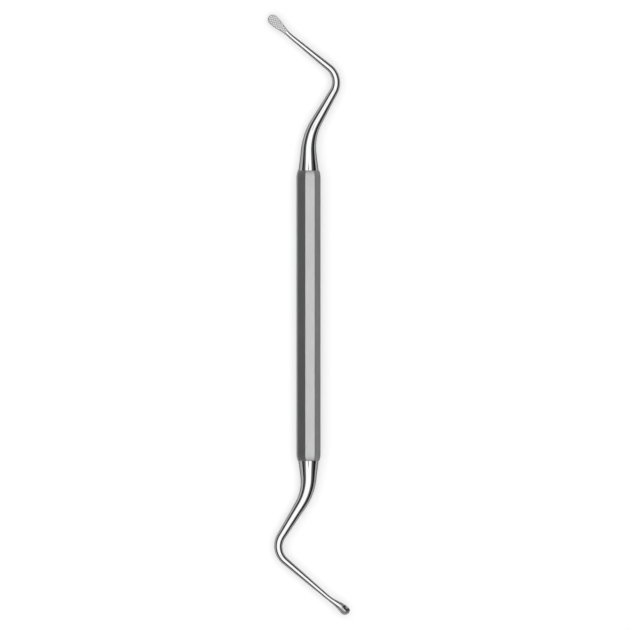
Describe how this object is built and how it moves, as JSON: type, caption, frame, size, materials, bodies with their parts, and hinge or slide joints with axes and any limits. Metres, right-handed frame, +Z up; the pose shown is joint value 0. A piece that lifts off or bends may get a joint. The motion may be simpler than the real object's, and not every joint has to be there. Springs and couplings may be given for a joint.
{
  "type": "bone curette",
  "caption": "Double-ended bone curette: bent tapered steel shanks with a hollow spoon at one end and a cross-cut toothed head at the other, on a satin octagonal handle.",
  "frame": {"origin": "middle of the handle flat that the instrument lies on", "axes": "+Y along the handle towards the toothed end, +Z up out of the flat, both shanks bend in the XY plane"},
  "size_m": [0.0228, 0.1653, 0.0063],
  "materials": {
    "satin_steel": "satin, fine grain along the bar",
    "polished_steel": "mirror polish, with the toothed faces and the spoon ground matt"
  },
  "bodies": {
    "root": {"handle": "satin_steel", "rasp_end": "polished_steel", "spoon_end": "polished_steel"}
  },
  "joints": []
}
